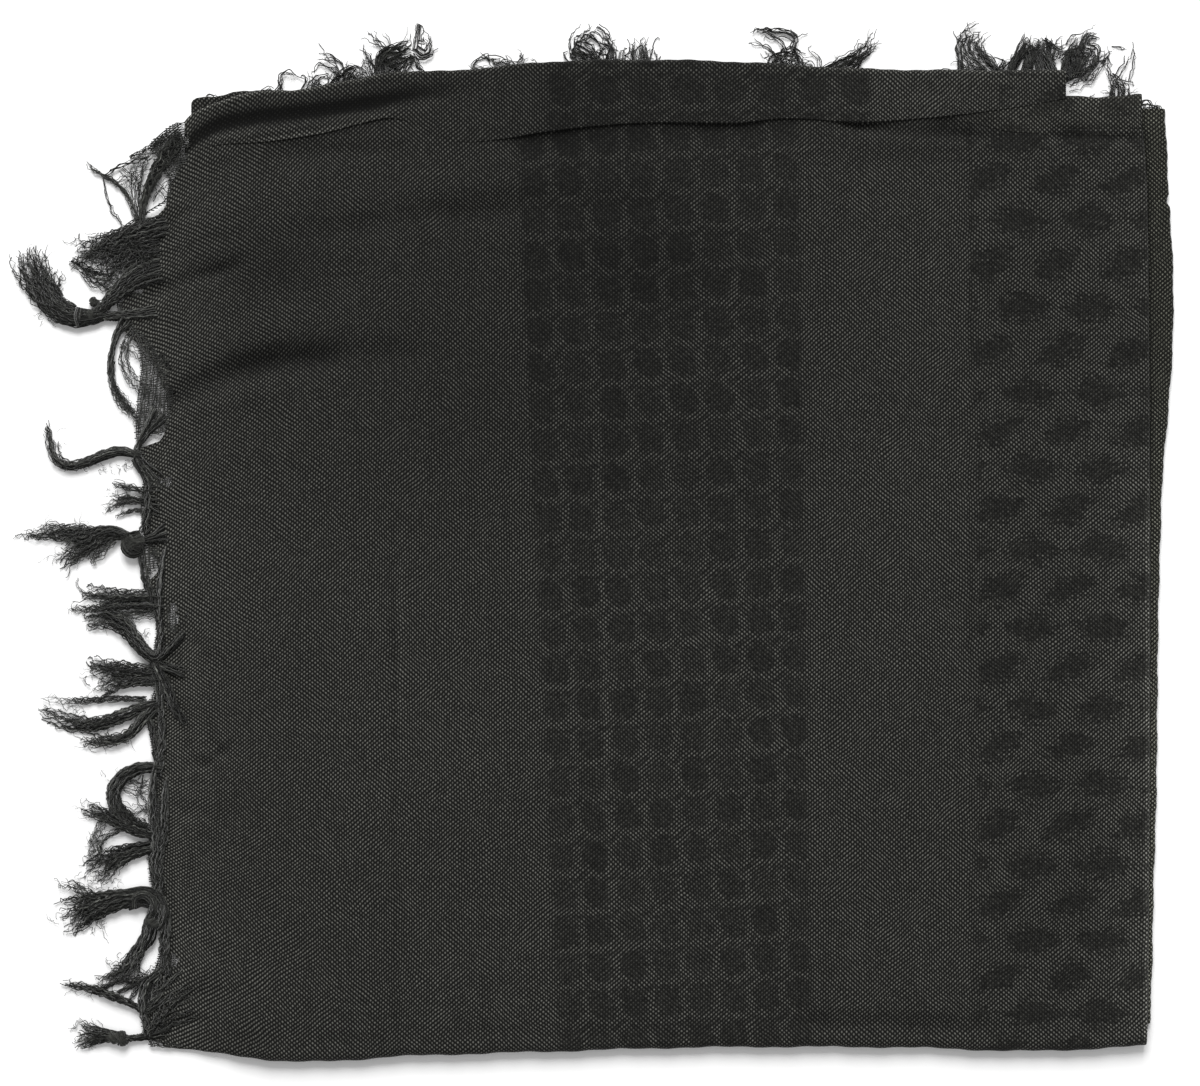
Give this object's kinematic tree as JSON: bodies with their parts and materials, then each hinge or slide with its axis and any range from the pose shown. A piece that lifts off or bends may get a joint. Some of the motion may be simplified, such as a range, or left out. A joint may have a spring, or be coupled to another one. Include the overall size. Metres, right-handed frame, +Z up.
{
  "type": "folded keffiyeh headscarf",
  "caption": "Charcoal cotton keffiyeh headscarf folded into a near square and lying flat, with tone-on-tone woven bands and knotted tassels along two sides.",
  "frame": {"origin": "under the middle of the folded scarf's footprint, tassels included, on the surface it lies on", "axes": "+Z up out of the cloth, +X from the tasselled edge towards the right-hand folds, +Y from the bottom fold towards the top fold"},
  "size_m": [0.6455, 0.5794, 0.0123],
  "materials": {
    "top_cloth": "matt plain-woven cotton, charcoal, with darker tone-on-tone woven bands of dots and leaves",
    "lower_cloth": "matt plain-woven cotton, charcoal",
    "tassel_yarn": "loose two-ply cotton yarn, near black, frayed at the ends"
  },
  "bodies": {
    "root": {"top_panel": "top_cloth", "top_fold_strip": "top_cloth", "corner_step": "top_cloth", "second_fold": "lower_cloth", "lower_corner": "lower_cloth", "hidden_plies": "lower_cloth", "edge_yarns": "tassel_yarn", "left_tassel_01": "tassel_yarn", "left_tassel_02": "tassel_yarn", "left_tassel_03": "tassel_yarn", "left_tassel_04": "tassel_yarn", "left_tassel_05": "tassel_yarn", "left_tassel_06": "tassel_yarn", "left_tassel_07": "tassel_yarn", "left_tassel_08": "tassel_yarn", "left_tassel_09": "tassel_yarn", "left_tassel_10": "tassel_yarn", "left_tassel_11": "tassel_yarn", "left_tassel_12": "tassel_yarn", "left_tassel_13": "tassel_yarn", "left_tassel_14": "tassel_yarn", "left_tassel_15": "tassel_yarn", "left_tassel_16": "tassel_yarn", "left_tassel_17": "tassel_yarn", "top_tassel_01": "tassel_yarn", "top_tassel_02": "tassel_yarn", "top_tassel_03": "tassel_yarn", "top_tassel_04": "tassel_yarn", "top_tassel_05": "tassel_yarn", "top_tassel_06": "tassel_yarn", "top_tassel_07": "tassel_yarn", "top_tassel_08": "tassel_yarn", "top_tassel_09": "tassel_yarn", "top_tassel_10": "tassel_yarn", "top_tassel_11": "tassel_yarn"}
  },
  "joints": []
}
